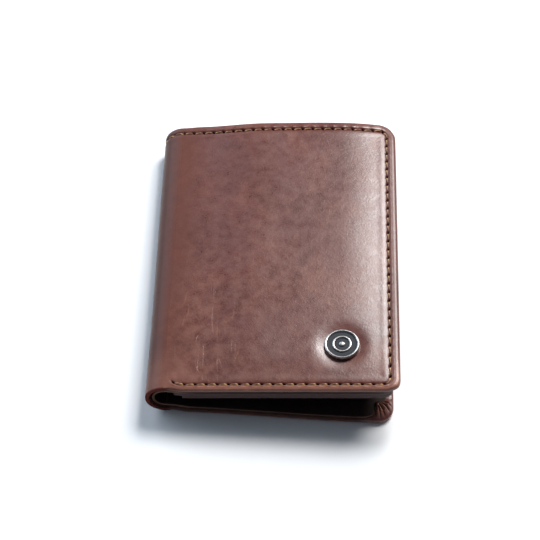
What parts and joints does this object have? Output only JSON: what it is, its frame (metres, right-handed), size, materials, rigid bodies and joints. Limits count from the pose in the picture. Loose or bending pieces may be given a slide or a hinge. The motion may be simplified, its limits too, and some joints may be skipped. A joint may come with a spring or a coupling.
{
  "type": "trifold wallet",
  "caption": "Upright leather wallet with stitched covers folded round a soft spine, card pockets inside, a centre leaf with a clear window, and a round metal badge on the front.",
  "frame": {"origin": "on the back cover's outer face, at the middle of the closed wallet's width and length", "axes": "+X from the spine to the free edge, +Y along the spine towards the open end of the note compartment, +Z out of the back cover towards the front cover"},
  "size_m": [0.0861, 0.118, 0.0193],
  "materials": {
    "outer_leather": "waxed pull-up leather, reddish brown with darker mottling, satin sheen",
    "pocket_leather": "thin matt brown leather",
    "inner_leather": "matt brown leather with a light raw edge",
    "lining": "plain woven lining cloth",
    "stiffener": "plain board",
    "thread": "twisted waxed tan thread",
    "badge_metal": "polished",
    "badge_enamel": "dark slate enamel, glossy",
    "clear_film": "clear flexible film"
  },
  "bodies": {
    "back_cover": {"back_outer_leather": "outer_leather", "back_turned_edge": "outer_leather", "back_stiffener": "stiffener", "back_lining": "lining", "back_pocket_liner": "inner_leather", "back_card_pocket_1": "pocket_leather", "back_card_pocket_2": "pocket_leather", "back_pocket_welts": "inner_leather", "back_edge_stitching": "thread", "back_pocket_stitching": "thread", "leaf_anchor_tab": "inner_leather"},
    "spine_1": {"spine_leather_1": "outer_leather", "spine_liner_1": "inner_leather"},
    "spine_2": {"spine_leather_2": "outer_leather", "spine_liner_2": "inner_leather"},
    "spine_3": {"spine_leather_3": "outer_leather", "spine_liner_3": "inner_leather"},
    "spine_4": {"spine_leather_4": "outer_leather", "spine_liner_4": "inner_leather"},
    "spine_5": {"spine_leather_5": "outer_leather", "spine_liner_5": "inner_leather"},
    "front_cover": {"front_outer_leather": "outer_leather", "front_turned_edge": "outer_leather", "front_stiffener": "stiffener", "front_lining": "lining", "front_pocket_liner": "inner_leather", "front_card_pocket_1": "pocket_leather", "front_card_pocket_2": "pocket_leather", "front_pocket_welts": "inner_leather", "front_edge_stitching": "thread", "front_pocket_stitching": "thread", "badge_cup": "badge_metal", "badge_enamel": "badge_enamel", "badge_emblem": "badge_metal", "badge_post": "badge_metal", "badge_washer": "badge_metal"},
    "centre_leaf": {"leaf_backing": "pocket_leather", "leaf_welts": "inner_leather", "leaf_window_film": "clear_film", "leaf_window_frame": "pocket_leather", "leaf_hinge_strip": "inner_leather", "leaf_stitching": "thread"}
  },
  "joints": [
    {"name": "spine_fold_1", "type": "hinge", "parent": "back_cover", "child": "spine_1", "pos_m": [-0.03791, 0, 0], "axis": [0, -1, 0], "range_deg": [0, 29.4]},
    {"name": "spine_fold_2", "type": "hinge", "parent": "spine_1", "child": "spine_2", "pos_m": [-0.04107, 0, 0.00179], "axis": [0, -1, 0], "range_deg": [0, 29.4]},
    {"name": "spine_fold_3", "type": "hinge", "parent": "spine_2", "child": "spine_3", "pos_m": [-0.04295, 0, 0.00489], "axis": [0, -1, 0], "range_deg": [0, 29.4]},
    {"name": "spine_fold_4", "type": "hinge", "parent": "spine_3", "child": "spine_4", "pos_m": [-0.04305, 0, 0.00852], "axis": [0, -1, 0], "range_deg": [0, 29.4]},
    {"name": "spine_fold_5", "type": "hinge", "parent": "spine_4", "child": "spine_5", "pos_m": [-0.04135, 0, 0.01173], "axis": [0, -1, 0], "range_deg": [0, 29.4]},
    {"name": "spine_fold_6", "type": "hinge", "parent": "spine_5", "child": "front_cover", "pos_m": [-0.0383, 0, 0.01369], "axis": [0, -1, 0], "range_deg": [0, 29.4]},
    {"name": "leaf_turn", "type": "hinge", "parent": "back_cover", "child": "centre_leaf", "pos_m": [-0.033, 0, 0.0071], "axis": [0, -1, 0], "range_deg": [0, 175]}
  ],
  "couplings": [
    {"joint": "spine_fold_2", "follows": "spine_fold_1", "ratio": 1},
    {"joint": "spine_fold_3", "follows": "spine_fold_1", "ratio": 1},
    {"joint": "spine_fold_4", "follows": "spine_fold_1", "ratio": 1},
    {"joint": "spine_fold_5", "follows": "spine_fold_1", "ratio": 1},
    {"joint": "spine_fold_6", "follows": "spine_fold_1", "ratio": 1},
    {"joint": "leaf_turn", "follows": "spine_fold_1", "ratio": 5.94}
  ]
}
